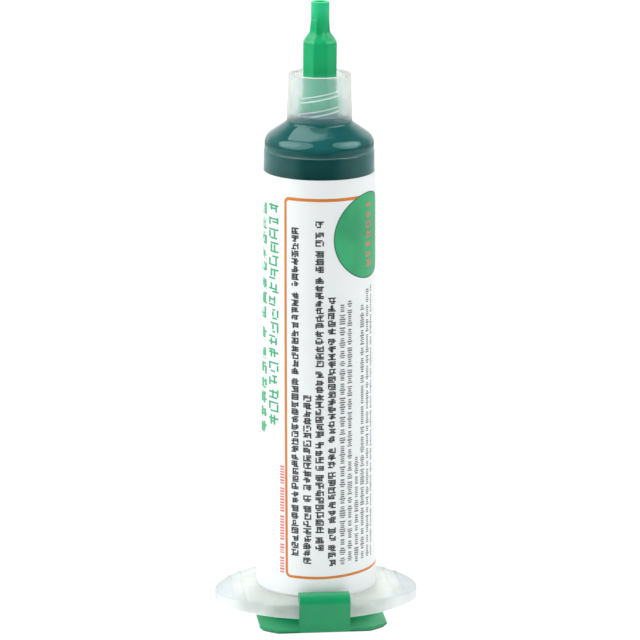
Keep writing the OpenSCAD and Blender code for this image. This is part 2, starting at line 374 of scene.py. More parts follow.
def clear_plastic(
    name,
    tint,
    roughness,
    veil=0.0,
    veil_color=None,
    edge=0.0,
    edge_color=None,
    edge_power=1.2,
    slant_power=2.5,
    rise=None,
    flank=0.0,
    cloud=0.0,
    ears=None,
    shadow_tint=(1, 1, 1),
    passing=0.5,
    shine=(1, 1, 1),
):
    """Clear plastic. Veil is the share of light that its milky body scatters, and edge what is added where
    it is seen at a slant. The larger edge_power is, the later its colour turns there, and the larger
    slant_power, the later the milk sets in. Rise is the pair of heights between which the milk sets in,
    flank paints a white highlight on the sides of the thread, cloud is how uneven the milk is, and ears is
    a darker colour away from the tube, a painted shade on the flange's ears. Passing is the share of the
    scattered light that goes on through the wall, and shine tints the gloss."""
    mat, nodes, links, out = node_material(name)
    glass = nodes.new("ShaderNodeBsdfPrincipled")
    glass.inputs["Base Color"].default_value = (*tint, 1)
    glass.inputs["Transmission Weight"].default_value = 1.0
    glass.inputs["IOR"].default_value = PLASTIC_IOR
    glass.inputs["Specular Tint"].default_value = (*shine, 1)
    fine = object_noise(nodes, links, CLEAR_GRAIN)
    uneven_gloss(nodes, links, glass, fine, (roughness * 0.8, roughness * 1.2), 0.12, 0.01)
    surface = glass.outputs["BSDF"]
    if veil:
        slant = nodes.new("ShaderNodeLayerWeight")
        slant.inputs["Blend"].default_value = 0.5
        steep = math_node(nodes, links, "POWER", slant.outputs["Facing"], slant_power)
        turning = math_node(nodes, links, "POWER", slant.outputs["Facing"], edge_power)
        edge_color = edge_color or veil_color
        milk = milk_color(nodes, links, turning, veil_color, edge_color, flank, cloud, ears)
        back = nodes.new("ShaderNodeBsdfDiffuse")
        through = nodes.new("ShaderNodeBsdfTranslucent")
        links.new(milk, back.inputs["Color"])
        links.new(milk, through.inputs["Color"])
        body = mixed_shader(nodes, links, passing, back.outputs["BSDF"], through.outputs["BSDF"])
        share = milk_share(nodes, links, steep, veil, edge, rise, flank)
        surface = mixed_shader(nodes, links, share, surface, body)
    let_light_through(nodes, links, surface, out, shadow_tint)
    return mat


def paste(name, color, lit_head_color, rise):
    """The thick fill, wetted against the wall, so its surface has no gloss of its own. Above the pair of
    heights rise it has a lighter colour, painted light for the light from above that falls on the shoulder."""
    mat, nodes, links, out = node_material(name)
    bsdf = nodes.new("ShaderNodeBsdfPrincipled")
    streak = object_noise(nodes, links, PASTE_GRAIN, detail=4, stretch=(1, 1, 0.12))
    shade = ramped(nodes, links, streak, (0.35, grey(0.84)), (0.65, grey(1)))
    # Painted light: the head above rise is lighter, where the shoulder faces the light from above.
    depth = blended(nodes, links, by_height(nodes, links, *rise), color, lit_head_color)
    links.new(blended(nodes, links, 1.0, depth, shade, "MULTIPLY"), bsdf.inputs["Base Color"])
    bsdf.inputs["Roughness"].default_value = 0.7
    bsdf.inputs["Specular IOR Level"].default_value = 0.0
    links.new(bsdf.outputs["BSDF"], out.inputs["Surface"])
    return mat


# Materials of the barrel. Heights are in millimetres.
CLEAR = (0.985, 0.995, 0.99)
SLIGHT = (0.96, 0.945, 0.90)
THROUGH = (0.92, 0.95, 0.94)
# The tube's milk is teal towards the tube's sides: painted light that brightens the fill there.
clear_mat = clear_plastic(
    "clear_body",
    CLEAR,
    roughness=0.07,
    veil=0.004,
    veil_color=(0.30, 0.90, 0.88),
    edge=0.6,
    edge_color=(0.86, 0.87, 0.87),
    edge_power=3.0,
    rise=(79.3, 78.2),
    shine=(0.75, 1.3, 1.22),
)
# The step's rounding gets milk that shows as a thin bright line, a painted highlight along the step line.
step_highlight_mat = clear_plastic(
    "step_edge_highlight", CLEAR, roughness=0.1, veil=0.2, veil_color=(0.55, 0.80, 0.80), edge=0.3
)
shoulder_mat = clear_plastic("shoulder_body", CLEAR, roughness=0.07, shine=(0.95, 1.42, 1.34))
milky_mat = clear_plastic(
    "collar_outside",
    SLIGHT,
    roughness=0.22,
    veil=0.22,
    veil_color=(0.54, 0.74, 0.88),
    edge=1.6,
    edge_color=(0.87, 0.82, 0.76),
    edge_power=0.5,
    slant_power=1.9,
    rise=(82.25, 84.15),
)
frost_mat = clear_plastic(
    "collar_inside",
    SLIGHT,
    roughness=0.25,
    veil=0.11,
    veil_color=(0.38, 0.66, 1.0),
    edge=0.8,
    edge_color=(0.90, 0.86, 0.78),
    edge_power=0.6,
    # Painted highlight on the thread's flanks
    flank=0.98,
)
floor_mat = clear_plastic(
    "collar_floor", SLIGHT, roughness=0.35, veil=0.9, veil_color=(0.16, 0.40, 0.38), edge=0.1
)
flange_mat = clear_plastic(
    "flange_body",
    (0.94, 0.97, 0.96),
    roughness=0.32,
    veil=0.6,
    veil_color=(0.99, 1.0, 0.97),
    edge=0.2,
    cloud=0.12,
    # Darker milk on the ears, a painted shade
    ears=(0.74, 0.79, 0.81),
    shadow_tint=THROUGH,
    passing=0.35,
)
flange_rim_mat = clear_plastic(
    "flange_rim",
    (0.98, 0.99, 0.99),
    roughness=0.3,
    veil=0.8,
    veil_color=(0.98, 1.0, 1.0),
    edge=0.1,
    shadow_tint=THROUGH,
    passing=0.3,
)
flange_side_mat = clear_plastic(
    "flange_side",
    (0.97, 0.99, 0.98),
    roughness=0.32,
    veil=0.5,
    veil_color=(0.97, 0.99, 0.97),
    edge=0.2,
    cloud=0.3,
    # Slightly darker milk on the ears, a painted shade
    ears=(0.95, 0.98, 0.99),
    shadow_tint=THROUGH,
    passing=0.35,
)

# Materials of the other pieces
# The fill's lighter head colour is painted light from above on the shoulder.
fill_mat = paste("fill", (0.0080, 0.082, 0.080), (0.016, 0.146, 0.142), rise=(78.2, 79.4))
tip_mat = plastic(
    "tip_green",
    (0.007, 0.41, 0.150),
    roughness=0.29,
    scatter=0.15,
    specular=0.35,
    depth_mm=0.5,
    # Lighter green on the stem's top, painted light for the light that shines through its thin wall
    thin=((0.026, 0.56, 0.245), 98.4, 101.0),
)
end_mat = plastic("end_green", (0.008, 0.30, 0.116), roughness=0.22, scatter=0.1, specular=0.4)
piston_mat = plastic("piston_plastic", (0.78, 0.79, 0.77), roughness=0.45, scatter=0.2)
film_mat = plastic(
    "label_film",
    (0.84, 0.875, 0.885),
    roughness=0.38,
    spread=0.01,
    grain=INK_GRAIN,
    bump_mm=0.002,
    specular=0.4,
)
INKS = {
    "orange": (0.66, 0.20, 0.010),
    "green": (0.028, 0.372, 0.150),
    "rim_green": (0.02, 0.16, 0.085),
    "mark_red": (0.58, 0.17, 0.13),
    "teal": (0.045, 0.40, 0.19),
    "dark": (0.040, 0.042, 0.042),
    "grey": (0.155, 0.16, 0.165),
    "red": (0.80, 0.16, 0.14),
}
# The large disc is printed less evenly than the rest.
UNEVEN = {"green": 0.14}
ink = {
    name: plastic(
        "print_" + name,
        color,
        roughness=0.4,
        spread=UNEVEN.get(name, 0.03),
        grain=INK_GRAIN,
        bump_mm=0.002,
    )
    for name, color in INKS.items()
}

# Barrel: heights of the rear face, the foot of the tube and the step line
REAR, FLANGE, STEP = 2.0, 4.95, 78.05
# Outer radius of the tube at its foot, at the step line and above it
BASE_R, TOP_R, UPPER_R = 9.82, 8.9, 8.82
# Bore, and the seat at its rear with its upper end
BORE_R, SEAT_R, SEAT_TOP = 7.9, 7.95, 10.4
# Rounding of the shoulder: height, radius, and the degrees by which it turns
SHOULDER_Z, SHOULDER_R, SHOULDER_TURN = 78.95, 2.0, 55.5
SHOULDER_X = UPPER_R - SHOULDER_R
INNER_SHOULDER_R = SHOULDER_R - (UPPER_R - BORE_R)
# Heights of the collar's foot, rim and floor, and of the bore's end
COLLAR_Z, RIM, FLOOR, CEILING = 82.456, 90.256, 83.5, 82.856
# Radii of the collar's foot and rim, of its inside, and of the flat end of the bore
COLLAR_R, RIM_R, ROOT_R, CEILING_R = 5.25, 5.02, 3.9, 3.044
# Nozzle: height and radius of its tip, how it widens downwards, and its channel
NOZZLE, NOZZLE_R, NOZZLE_TAPER, CHANNEL_R = 92.356, 2.0, 0.03, 1.1

# Finger flange: two discs with shifted middles, and one that trims the ears
DISC_R, DISC_OFF, EAR_R, CORNER_POWER = 19.4, 7.5, 16.8, 60.0
FLANGE_FALL = 1.1
GRIP_RIBS, GRIP_RIB_H = (14.1, 12.2), 0.16
GRIP_RIB_HALF, GRIP_RIB_SLOPE = 0.28, 0.14

# Thread in the collar. RIDGE_FRONT is the height of one of its ridges at the front.
THREAD_LEAD, THREAD_STARTS, THREAD_TOP = 5.0, 2, 88.6
RIDGE_FRONT, RIDGE_H, RIDGE_HALF, RIDGE_SLOPE = 86.92, 0.3, 0.49, 0.26
RUN_IN, RUN_OUT = 0.2, 0.6

# Roundings and bevels of the barrel
MOUTH_BEVEL, LOW_ROUND, HIGH_ROUND = 0.4, 0.25, 0.45
TUBE_FILLET, FILLET_SINK = 0.25, 0.02
STEP_ROUND, STEP_GROOVE = 0.2, 0.06
COLLAR_FILLET, FILLET_RISE = 0.45, 0.5267
RIM_ROUND, FLOOR_ROUND, NOZZLE_ROUND = 0.15, 0.3, 0.12

# Numbers of rings where the surface bends finely
FLANGE_RINGS, THREAD_RINGS, NECK_RINGS = 75, 80, 60


def tube_r(z):
    """Outer radius of the tube below its step line. It narrows upwards."""
    return BASE_R - (z - FLANGE) * (BASE_R - TOP_R) / (STEP - FLANGE)


def nozzle_r(z):
    return NOZZLE_R + (NOZZLE - z) * NOZZLE_TAPER


def flange_outline():
    """Radius of the flange's edge for every angle. Two wide discs overlap, and a third trims the ears."""
    side = np.sqrt(DISC_R**2 - (DISC_OFF * np.cos(THETA)) ** 2) - DISC_OFF * np.abs(np.sin(THETA))
    return (side**-CORNER_POWER + EAR_R**-CORNER_POWER) ** (-1 / CORNER_POWER)


def flange_top(r):
    """Height of the flange's upper face, which falls outwards and has two ribs on each ear."""
    r = np.asarray(r, float)
    z = FLANGE - np.maximum(r - BASE_R, 0) * FLANGE_FALL / (EAR_R - BASE_R)
    x = np.abs(r * np.cos(THETA))
    for middle in GRIP_RIBS:
        z = z + GRIP_RIB_H * smooth((GRIP_RIB_HALF - np.abs(x - middle)) / GRIP_RIB_SLOPE)
    return z


def thread_r(z):
    """Radius of the collar's inside at height z for every angle."""
    pitch = THREAD_LEAD / THREAD_STARTS
    ridge = RIDGE_FRONT + THREAD_LEAD * (THETA - FRONT) / (2 * np.pi)
    away = np.abs((z - ridge + pitch / 2) % pitch - pitch / 2)
    fade = smooth((z - FLOOR - RUN_IN / 2) / RUN_IN) * smooth((THREAD_TOP - z) / RUN_OUT)
    return ROOT_R - RIDGE_H * smooth((RIDGE_HALF - away) / RIDGE_SLOPE) * fade


def mark_flanks(obj, rings):
    """Stores how steep the thread is at every point, for the material."""
    reach = 0.02
    steep = np.zeros((len(rings), SEGMENTS))
    for k, (r, z) in enumerate(rings):
        threaded = np.ndim(r) == 1 and np.ndim(z) == 0 and FLOOR < z <= THREAD_TOP
        if threaded:
            steep[k] = smooth(np.abs(thread_r(z + reach) - thread_r(z - reach)) / (2 * reach))
    values = np.zeros(len(obj.data.vertices), np.float32)
    values[: steep.size] = steep.ravel()
    attribute = obj.data.attributes.new("flank", "FLOAT", "POINT")
    attribute.data.foreach_set("value", values)


def flange_rings(add):
    """Rear face, edge and upper face of the flange, up to the foot of the tube."""
    outline = flange_outline()
    mouth_r = SEAT_R + MOUTH_BEVEL
    add("flange", [(mouth_r, REAR)])
    add("flange", [(mouth_r + (outline - LOW_ROUND - mouth_r) * t, REAR) for t in (0.3, 0.7, 1.0)])
    corner = arc(-LOW_ROUND, REAR + LOW_ROUND, LOW_ROUND, -90, 0, 7)[1:]
    low_edge = [(outline + x, z) for x, z in corner]
    add("rim", low_edge[:-1])
    edge_z = flange_top(outline)
    add("side", [low_edge[-1], (outline, (REAR + edge_z) / 2), (outline, edge_z - HIGH_ROUND)])
    for x, z in arc(-HIGH_ROUND, -HIGH_ROUND, HIGH_ROUND, 0, 90, 7)[1:]:
        add("flange", [(outline + x, flange_top(outline + x) + z)])
    foot_r = BASE_R + TUBE_FILLET
    for t in np.linspace(1, 0, FLANGE_RINGS)[1:]:
        r = foot_r + (outline - HIGH_ROUND - foot_r) * t
        add("flange", [(r, flange_top(r))])
    fillet = arc(foot_r, FLANGE + TUBE_FILLET, TUBE_FILLET, 270, 180, 5)[1:]
    add("flange", [(x, z - FILLET_SINK) for x, z in fillet])


def tube_rings(add):
    """Outside of the tube, its step line, and the shoulder up to the foot of the collar."""
    heights = (8, 20, 40, 60, 70, STEP - 0.5, STEP - STEP_ROUND)
    add("tube", [(tube_r(z), z) for z in heights])
    add("step", arc(TOP_R - STEP_ROUND, STEP - STEP_ROUND, STEP_ROUND, 0, 70, 6))
    groove_r = UPPER_R - STEP_GROOVE
    add("tube", [(groove_r, STEP), (groove_r, STEP + 0.1), (UPPER_R - 0.01, STEP + 0.13)])
    add("tube", [(UPPER_R, STEP + 0.4), (UPPER_R, SHOULDER_Z - 0.05)])
    shoulder = arc(SHOULDER_X, SHOULDER_Z, SHOULDER_R, 0, SHOULDER_TURN, 16)
    foot_z = COLLAR_Z + FILLET_RISE * COLLAR_FILLET
    foot = arc(COLLAR_R + COLLAR_FILLET, foot_z, COLLAR_FILLET, 180 + SHOULDER_TURN, 180, 10)
    add("shoulder", shoulder)
    add("shoulder", line(shoulder[-1], foot[0], 4)[:-1])
    add("shoulder", foot[:-1])
    add("milky", [foot[-1]])
    add("milky", line(foot[-1], (RIM_R, RIM - RIM_ROUND), 12))


def collar_rings(add):
    """Rim, threaded inside and floor of the collar."""
    add("milky", arc(RIM_R - RIM_ROUND, RIM - RIM_ROUND, RIM_ROUND, 0, 90, 5)[1:])
    add("frost", [(ROOT_R + 0.25, RIM), (ROOT_R + 0.08, RIM - 0.12), (ROOT_R, RIM - 0.3)])
    add("frost", [(ROOT_R, z) for z in np.linspace(89.4, THREAD_TOP + 0.05, 3)])
    threaded = np.linspace(THREAD_TOP, FLOOR + FLOOR_ROUND + 0.02, THREAD_RINGS)
    add("frost", [(thread_r(z), z) for z in threaded])
    add("floor", arc(ROOT_R - FLOOR_ROUND, FLOOR + FLOOR_ROUND, FLOOR_ROUND, 0, -90, 5))
    root = nozzle_r(FLOOR)
    add("floor", [((ROOT_R + root) / 2, FLOOR)])
    add("floor", arc(root + FLOOR_ROUND, FLOOR + FLOOR_ROUND, FLOOR_ROUND, 270, 180, 5))


def inside_rings(add):
    """Nozzle, its channel, the bore's end and the bore, down to the seat at the rear."""
    add("tube", [(nozzle_r(z), z) for z in (86, 88.5, 91, NOZZLE - NOZZLE_ROUND)])
    add("tube", arc(NOZZLE_R - NOZZLE_ROUND, NOZZLE - NOZZLE_ROUND, NOZZLE_ROUND, 0, 90, 3)[1:])
    add("tube", [(CHANNEL_R + 0.05, NOZZLE), (CHANNEL_R, NOZZLE - 0.05)])
    add("tube", [(CHANNEL_R, z) for z in (90, 87, 84, CEILING + 0.1)])
    add("tube", [(CHANNEL_R + 0.1, CEILING), (CEILING_R, CEILING)])
    shoulder = arc(SHOULDER_X, SHOULDER_Z, INNER_SHOULDER_R, SHOULDER_TURN, 0, 12)
    add("tube", line((CEILING_R, CEILING), shoulder[0], 4)[:-1])
    add("tube", shoulder)
    add("tube", [(BORE_R, z) for z in (70, 50, 30, 11.0)])
    add("tube", [(SEAT_R, SEAT_TOP), (SEAT_R, 6), (SEAT_R, REAR + MOUTH_BEVEL)])


def barrel_rings():
    """The barrel's one closed section, and the part that the stretch after each ring belongs to."""
    rings, parts = [], []

    def add(part, points):
        rings.extend(points)
        parts.extend([part] * len(points))

    for stretch in (flange_rings, tube_rings, collar_rings, inside_rings):
        stretch(add)
    return rings, parts


BARREL_MATERIALS = {
    "tube": clear_mat,
    "frost": frost_mat,
    "flange": flange_mat,
    "milky": milky_mat,
    "floor": floor_mat,
    "rim": flange_rim_mat,
    "side": flange_side_mat,
    "shoulder": shoulder_mat,
    "step": step_highlight_mat,
}
rings, parts = barrel_rings()
part_order = list(BARREL_MATERIALS)
barrel = turned(
    "barrel_body",
    rings,
    closed=True,
    materials=BARREL_MATERIALS.values(),
    bands=[part_order.index(part) for part in parts],
)
mark_flanks(barrel, rings)
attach(barrel, "barrel")
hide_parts("barrel")

# Fill. It reaches into the wall by WET, so that no air shows between them. At SPLIT the column, which
# the piston shortens, meets the head.
WET = 0.04
SPLIT = SHOULDER_Z
HEAD_R, HEAD_TOP, HEAD_ROUND = 3.3, 83.46, 0.3
CEILING_SLOPE = 0.687
PASTE_LOW, PASTE_TOP = 28.02, NOZZLE - 0.02


def head_rings():
    """The fill above the foot of the shoulder, with its thread of paste in the nozzle."""
    rings = [(BORE_R + WET, SPLIT)]
    rings += arc(SHOULDER_X, SHOULDER_Z, INNER_SHOULDER_R + WET, 0, SHOULDER_TURN, 12)[1:]
    rings += line(rings[-1], (HEAD_R, CEILING - (HEAD_R - CEILING_R) * CEILING_SLOPE + WET), 4)
    rings += line(rings[-1], (HEAD_R, HEAD_TOP - HEAD_ROUND), 2)
    rings += arc(HEAD_R - HEAD_ROUND, HEAD_TOP - HEAD_ROUND, HEAD_ROUND, 0, 90, 4)[1:]
    rings += [(CHANNEL_R + 0.1, HEAD_TOP), (CHANNEL_R, HEAD_TOP + 0.1)]
    rings += [(CHANNEL_R, 86.0), (CHANNEL_R, PASTE_TOP)]
    return rings


fill_head = turned("fill_head", head_rings(), capped=True, materials=(fill_mat,))
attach(fill_head, "barrel")
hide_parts("solder_mask")

column = [(BORE_R + WET, z) for z in np.linspace(PASTE_LOW, SPLIT, 9)]
fill_column = turned("fill_column", column, capped=True, materials=(fill_mat,))
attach(fill_column, "barrel")
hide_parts("solder_mask")
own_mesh(fill_column)

# Tip cap: its turn, and the heights of its mouth, the socket's end and the top
CAP_TURN = math.radians(-5.4)
MOUTH, SOCKET_END, CAP_TOP = 84.256, 92.956, 101.88
GRIP_FLAT, STEM_R, SOCKET_GAP = 2.68, 1.46, 0.04
LUG_R, LUG_HALF, LUG_TOP = 3.5, 2.3, MOUTH + 2.0
# Hole in the stem's top, and the roundings of the edges
HOLE_R, HOLE_DEPTH = 0.95, 0.5
EDGE, HOLE_EDGE = 0.12, 0.1
# How crisp the octagon's corners are at the grip and at the neck, and how far the neck's stand out
GRIP_SHARPNESS, NECK_SHARPNESS, NECK_RIDGE = 40.0, 100.0, 1.2
# Profiles of the neck and of its one rib: height, and distance of the flat from the axis
NECK = (
    (95.2, 2.68),
    (95.55, 2.66),
    (95.9, 2.26),
    (96.3, 1.86),
    (96.7, 1.59),
    (97.0, 1.44),
    (97.4, 1.41),
    (98.0, 1.39),
    (98.9, 1.33),
    (99.6, 1.22),
)
RIB = (
    (95.2, 2.68),
    (95.6, 2.62),
    (96.3, 2.02),
    (96.9, 1.76),
    (97.5, 1.68),
    (98.1, 1.63),
    (98.7, 1.56),
    (99.2, 1.46),
    (99.8, 1.30),
)
# Heights between which the neck's ridges set in
RIDGES_FROM, RIDGES_FULL = 95.5, 96.4
# The rib's place, its half width, the run beside it and the reach of its flat, as angles
RIB_TURN = FRONT - math.radians(42)
RIB_HALF, RIB_RUN, RIB_FLAT = 0.37, 0.22, 0.45


def octagon(sharpness=GRIP_SHARPNESS):
    """Radius of an eight-sided outline with unit flats and slightly rounded edges."""
    t = THETA - CAP_TURN
    total = np.zeros_like(t)
    for k in range(8):
        total += np.maximum(np.cos(t - k * math.pi / 4), 0.02) ** sharpness
    return total ** (-1 / sharpness)


def soft_max(a, b, power=220):
    """The larger of two radii, with a small fillet between them."""
    return (np.power(a, power) + np.power(b, power)) ** (1 / power)


def rounded(x, xs, ys, reach=0.3):
    """The table ys over xs, averaged over a short reach."""
    return float(np.mean([np.interp(x + d, xs, ys) for d in np.linspace(-reach, reach, 9)]))


def rib_r(z):
    """Radius of the one flat of the grip that runs on up the neck. Beside it this falls to a half, which
    the neck covers."""
    off = (THETA - RIB_TURN + np.pi) % (2 * np.pi) - np.pi
    flat = rounded(z, *np.array(RIB).T) / np.cos(np.clip(off, -RIB_FLAT, RIB_FLAT))
    return flat * (1 - 0.5 * smooth((np.abs(off) - RIB_HALF) / RIB_RUN))


def socket_r(z):
    return nozzle_r(z) + SOCKET_GAP


def neck_r(z):
    """Radius of the neck, where the flats run out into the round stem and leave ridges between them."""
    t = float(smooth((z - RIDGES_FROM) / (RIDGES_FULL - RIDGES_FROM)))
    sharpness = GRIP_SHARPNESS + (NECK_SHARPNESS - GRIP_SHARPNESS) * t
    ridged = octagon(sharpness) ** (1 + NECK_RIDGE * t)
    neck = soft_max(STEM_R, rounded(z, *np.array(NECK).T) * ridged)
    return soft_max(neck, rib_r(z))


def cap_rings():
    """The socket from its end down to the mouth, then the outside up to the hole in the stem's top."""
    grip = GRIP_FLAT * octagon()
    across = np.abs(np.sin(THETA - CAP_TURN))
    lug_r = np.maximum(grip, np.minimum(LUG_R, LUG_HALF / np.maximum(across, 0.05)))
    rings = [(0.35, SOCKET_END), (socket_r(SOCKET_END) - 0.1, SOCKET_END)]
    rings += [(socket_r(z), z) for z in (92.85, 90, 87, MOUTH + 0.1)]
    rings += [(socket_r(MOUTH) + 0.08, MOUTH)]
    rings += [(lug_r - EDGE, MOUTH), (lug_r - 0.03, MOUTH + 0.03), (lug_r, MOUTH + EDGE)]
    rings += [(lug_r, MOUTH + 1.0), (lug_r, LUG_TOP - EDGE), (lug_r - 0.04, LUG_TOP - 0.03)]
    rings += [(np.maximum(grip, lug_r - 0.14), LUG_TOP), (grip, LUG_TOP), (grip, LUG_TOP + 0.1)]
    neck_low, neck_high = NECK[0][0], NECK[-1][0]
    rings += [(grip, z) for z in (88, 90, 92, 94, neck_low)]
    rings += [(neck_r(z), z) for z in np.linspace(neck_low, neck_high, NECK_RINGS)[1:]]
    rings += [(STEM_R, 101.0), (STEM_R, CAP_TOP - EDGE)]
    rings += arc(STEM_R - EDGE, CAP_TOP - EDGE, EDGE, 0, 90, 4)[1:]
    rings += arc(HOLE_R + HOLE_EDGE, CAP_TOP - HOLE_EDGE, HOLE_EDGE, 90, 180, 3)
    bottom = CAP_TOP - HOLE_DEPTH
    rings += [(HOLE_R, bottom + 0.05), (HOLE_R - 0.05, bottom), (0.3, bottom)]
    return rings


tip_cap = turned("tip_cap_body", cap_rings(), capped=True, materials=(tip_mat,), sharp=34)
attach(tip_cap, "tip_cap")
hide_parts("tip_cap")

# Label: its two ends, and how far its two sides lie above the tube
LABEL_LOW, LABEL_HIGH = 5.25, 74.55
FILM_IN, FILM_OUT = 0.02, 0.1


def film_r(z, lift=0.0):
    """Radius of the label's outside, or of what lies on it by lift."""
    return tube_r(z) + FILM_OUT + lift


def label_rings():
    heights = np.linspace(LABEL_LOW, LABEL_HIGH, 9)
    outer = [(film_r(z), z) for z in heights]
    inner = [(tube_r(z) + FILM_IN, z) for z in heights[::-1]]
    return outer + inner


label = turned("label_film", label_rings(), closed=True, materials=(film_mat,))
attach(label, "barrel")
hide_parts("label")

# Print. For each millimetre of height its columns lean to the left by LEAN and draw together by the
# share SHRINK. The ink lies INK_LIFT above the film and is INK_T thick.
LEAN, SHRINK = 0.0072, 0.000437
INK_LIFT, INK_T = 0.004, 0.008
# Largest patch of a bar, so that it bends with the film, and the hole at a disc's hub
PATCH_ACROSS, PATCH_UP = 0.5, 6
HUB = 0.02


def on_film(turn, z, lift):
    """A point of the print, from its turn round the axis and its height above the foot of the tube."""
    radius = film_r(z + FLANGE, lift)
    return (radius * math.cos(turn), radius * math.sin(turn), z + FLANGE)


def place(c, z, lift):
    """A point of the print, where c is the distance across at the foot of the tube."""
    u = (c - LEAN * z) / (1 + SHRINK * z)
    sine = max(-0.999, min(0.999, u / film_r(z + FLANGE, lift)))
    return on_film(FRONT + math.asin(sine), z, lift)


def place_angle(degrees, z, lift):
    """A point of the print, from its angle beside the front."""
    return on_film(FRONT + math.radians(degrees), z, lift)


def angle_at(c, z):
    """The angle beside the front of a place of the print, in degrees."""
    x, y, _ = place(c, z, 0.0)
    return math.degrees(math.atan2(y, x) - FRONT)


def angle_of(length, z):
    """The angle that a length along the film takes up, in degrees."""
    return math.degrees(length / film_r(z + FLANGE))


class Print:
    """Collects thin raised patches of one colour. A higher order lies on top of a lower one."""

    def __init__(self, name, color, order=0):
        self.name, self.color, self.order = name, color, order
        self.verts, self.faces = [], []

    def grid(self, point, columns, rows):
        """A closed thin patch. point(i, j, lift) gives a corner of the grid."""
        low = INK_LIFT + self.order * INK_T
        base = len(self.verts)
        for lift in (low, low + INK_T):
            for j in range(rows + 1):
                for i in range(columns + 1):
                    self.verts.append(point(i, j, lift))
        row = columns + 1
        layer = row * (rows + 1)

        def add(*corners):
            self.faces.append(tuple(base + k * layer + j * row + i for i, j, k in corners))

        for j in range(rows):
            for i in range(columns):
                add((i, j, 1), (i + 1, j, 1), (i + 1, j + 1, 1), (i, j + 1, 1))
                add((i, j, 0), (i, j + 1, 0), (i + 1, j + 1, 0), (i + 1, j, 0))
        for j in range(rows):
            add((0, j, 0), (0, j, 1), (0, j + 1, 1), (0, j + 1, 0))
            add((columns, j, 0), (columns, j + 1, 0), (columns, j + 1, 1), (columns, j, 1))
        for i in range(columns):
            add((i, 0, 0), (i + 1, 0, 0), (i + 1, 0, 1), (i, 0, 1))
            add((i, rows, 0), (i, rows, 1), (i + 1, rows, 1), (i + 1, rows, 0))

    def bar(self, c0, c1, z0, z1):
        """An upright rectangle."""
        columns = int(abs(c1 - c0) / PATCH_ACROSS) + 1
        rows = int(abs(z1 - z0) / PATCH_UP) + 1

        def point(i, j, lift):
            return place(c0 + (c1 - c0) * i / columns, z0 + (z1 - z0) * j / rows, lift)

        self.grid(point, columns, rows)

    def ribbon(self, path, widths):
        """A line along a path of (degrees, height) points, with its width at each point."""
        flat = np.array([(math.radians(a) * film_r(z + FLANGE), z) for a, z in path])
        way = np.gradient(flat, axis=0)
        way /= np.linalg.norm(way, axis=1)[:, None]
        side = np.c_[-way[:, 1], way[:, 0]] * np.array(widths)[:, None] / 2

        def point(i, j, lift):
            x, z = flat[i] + side[i] * (1 - 2 * j)
            return place_angle(angle_of(x, z), z, lift)

        self.grid(point, len(path) - 1, 1)

    def disc(self, degrees, z, radius, steps=72, rings=12):
        """A round patch, with a tiny hole at its hub."""

        def point(i, j, lift):
            t = 2 * math.pi * i / steps
            r = radius * (j + HUB) / (rings + HUB)
            return place_angle(degrees + angle_of(r * math.cos(t), z), z + r * math.sin(t), lift)

        self.grid(point, steps, rings)

    def build(self):
        obj = link_mesh(self.name, self.verts, self.faces, (ink[self.color],), soft=False)
        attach(obj, "barrel")


draw = random.Random(7)


def words(sheet, c0, c1, high, low, letter=0.22, gap=0.17, word=(3, 9), space=0.35, fill=0.66):
    """A line of small print that reads downwards, as dashes without letters. Some are as long as the line
    is wide, and the others take up the share fill of it."""
    z = high
    wide = c1 - c0
    while z - letter > low:
        for _ in range(draw.randint(*word)):
            if z - letter < low:
                break
            full = draw.random() < 0.3
            inset = 0.0 if full else wide * (1 - fill) / 2
            size = letter * draw.uniform(0.7, 1.2)
            sheet.bar(c0 + inset, c1 - inset, z - size, z)
            z -= size + gap
        z -= space


def signs(sheet, c0, c1, high, low, tall=1.08, gap=0.17, pen=0.19, strokes=(4, 5), pause=0.1):
    """A line of larger print that reads downwards, as square clumps of short strokes without letters. Pause
    is how often half a clump is left free."""
    z = high
    wide = c1 - c0
    while z - tall > low:
        across = draw.sample(range(4), draw.randint(*strokes) - 1)
        for k in across:
            at = z - tall + (tall - pen) * k / 3
            start = c0 + wide * draw.choice((0, 0, 0.15, 0.35))
            end = c1 - wide * draw.choice((0, 0, 0.15, 0.35))
            sheet.bar(start, end, at, at + pen)
        for choice in ((0.0, 0.2, 0.4), (0.6, 0.8, 1.0)):
            side = c0 + (wide - pen) * draw.choice(choice)
            foot = z - tall * draw.uniform(0.7, 1.0)
            head = z - tall * draw.uniform(0, 0.3)
            sheet.bar(side, side + pen, foot, head)
        z -= tall + gap
        if draw.random() < pause:
            z -= tall * 0.5


# Printed frame. Its left line swings out towards the foot, and its lower line ends behind the tube.
FRAME_LEFT, FRAME_TOP, FRAME_LOW, FRAME_CORNER = -4.995, 66.4, 3.5, 0.7
FRAME_SWING, FRAME_SWING_LENGTH = 0.24, 63
FRAME_TOP_END, FRAME_LOW_END = 60, 112
FRAME_LOW_RISE, FRAME_LOW_RISE_END = 0.17, 50
FRAME_PEN, FRAME_TOP_PEN, FRAME_WIDENING = 0.44, 0.50, 0.6


